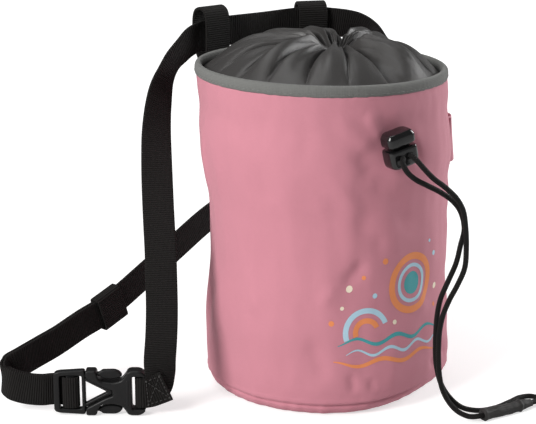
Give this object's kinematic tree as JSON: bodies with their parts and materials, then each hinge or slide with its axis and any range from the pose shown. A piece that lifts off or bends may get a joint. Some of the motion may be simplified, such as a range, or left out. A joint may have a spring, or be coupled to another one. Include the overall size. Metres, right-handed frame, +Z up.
{
  "type": "climbing chalk bag with waist belt",
  "caption": "Soft round climbing chalk bag with a piped rim, gathered drawcord closure, cord lock, brush loop and a webbing waist belt with a side-release buckle.",
  "frame": {"origin": "on the floor, in the flat base under the middle of the rim", "axes": "+Z up along the bag; -Y is the front with the cord lock; +Y is the back with the belt loops; the buckle lies towards -X"},
  "size_m": [0.2355, 0.1762, 0.1784],
  "materials": {
    "shell": "woven polyester, matte",
    "binding": "ribbed binding tape, matte",
    "closure": "thin nylon, soft sheen",
    "webbing": "ribbed polyester webbing, matte",
    "plastic": "moulded acetal, satin to gloss",
    "cord": "braided cord, matte"
  },
  "bodies": {
    "bag": {"bag_shell": "shell", "rim_binding": "binding", "closure": "closure", "belt_loop_left": "webbing", "belt_loop_right": "webbing", "brush_loop": "shell", "waist_belt": "webbing", "belt_keeper": "webbing", "buckle_tongue": "plastic", "buckle_socket": "plastic", "cord_lock_body": "plastic", "drawcord_left": "cord", "drawcord_right": "cord", "cord_sleeve": "cord"},
    "lock_button": {"cord_lock_button": "plastic"}
  },
  "joints": [
    {"name": "button_press", "type": "slide", "parent": "bag", "child": "lock_button", "axis": [0.2248, 0.0075, -0.9744], "range_m": [0, 0.0013], "stiffness_N_per_m": 1500, "springref_m": -0.002}
  ]
}
